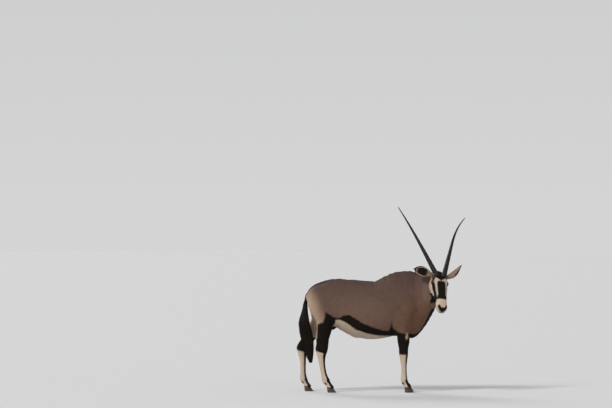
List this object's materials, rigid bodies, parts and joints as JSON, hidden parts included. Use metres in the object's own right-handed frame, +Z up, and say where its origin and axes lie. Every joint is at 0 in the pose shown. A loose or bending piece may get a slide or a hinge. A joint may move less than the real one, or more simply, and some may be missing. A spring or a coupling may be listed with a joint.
{
  "type": "gemsbok",
  "caption": "Life-size standing gemsbok bull with straight ringed horns, a masked face, a black flank stripe and a tufted tail, its head turned to its right.",
  "frame": {"origin": "on the floor, under the middle of the whole animal as it stands, tail and horns counted", "axes": "+Z up; the trunk runs along X and the animal faces +X; its left side is +Y, and its head is turned to -Y"},
  "size_m": [1.68, 0.808, 1.8368],
  "materials": {
    "coat": "short smooth fur, grey-brown above, white below, with black markings",
    "dark_coat": "black fur, short on the legs and long on the tail",
    "pale_coat": "short white fur on the ears and lower legs",
    "horn": "ringed dark keratin, worn smooth towards the tip",
    "hoof": "dark keratin with growth rings",
    "eye": "wet, dark brown, with a wide pupil"
  },
  "bodies": {
    "root": {"trunk": "coat", "neck": "coat", "head": "coat", "tail": "coat", "tail_tuft": "dark_coat", "ear_left": "pale_coat", "ear_right": "pale_coat", "horn_left": "horn", "horn_right": "horn", "eye_left": "eye", "eye_right": "eye", "foreleg_left_upper": "dark_coat", "foreleg_left_lower": "pale_coat", "hoof_foreleg_left_outer": "hoof", "dewclaw_foreleg_left_outer": "hoof", "hoof_foreleg_left_inner": "hoof", "dewclaw_foreleg_left_inner": "hoof", "foreleg_right_upper": "dark_coat", "foreleg_right_lower": "pale_coat", "hoof_foreleg_right_outer": "hoof", "dewclaw_foreleg_right_outer": "hoof", "hoof_foreleg_right_inner": "hoof", "dewclaw_foreleg_right_inner": "hoof", "hindleg_left_upper": "dark_coat", "hindleg_left_lower": "pale_coat", "hoof_hindleg_left_outer": "hoof", "dewclaw_hindleg_left_outer": "hoof", "hoof_hindleg_left_inner": "hoof", "dewclaw_hindleg_left_inner": "hoof", "hindleg_right_upper": "dark_coat", "hindleg_right_lower": "pale_coat", "hoof_hindleg_right_outer": "hoof", "dewclaw_hindleg_right_outer": "hoof", "hoof_hindleg_right_inner": "hoof", "dewclaw_hindleg_right_inner": "hoof"}
  },
  "joints": []
}
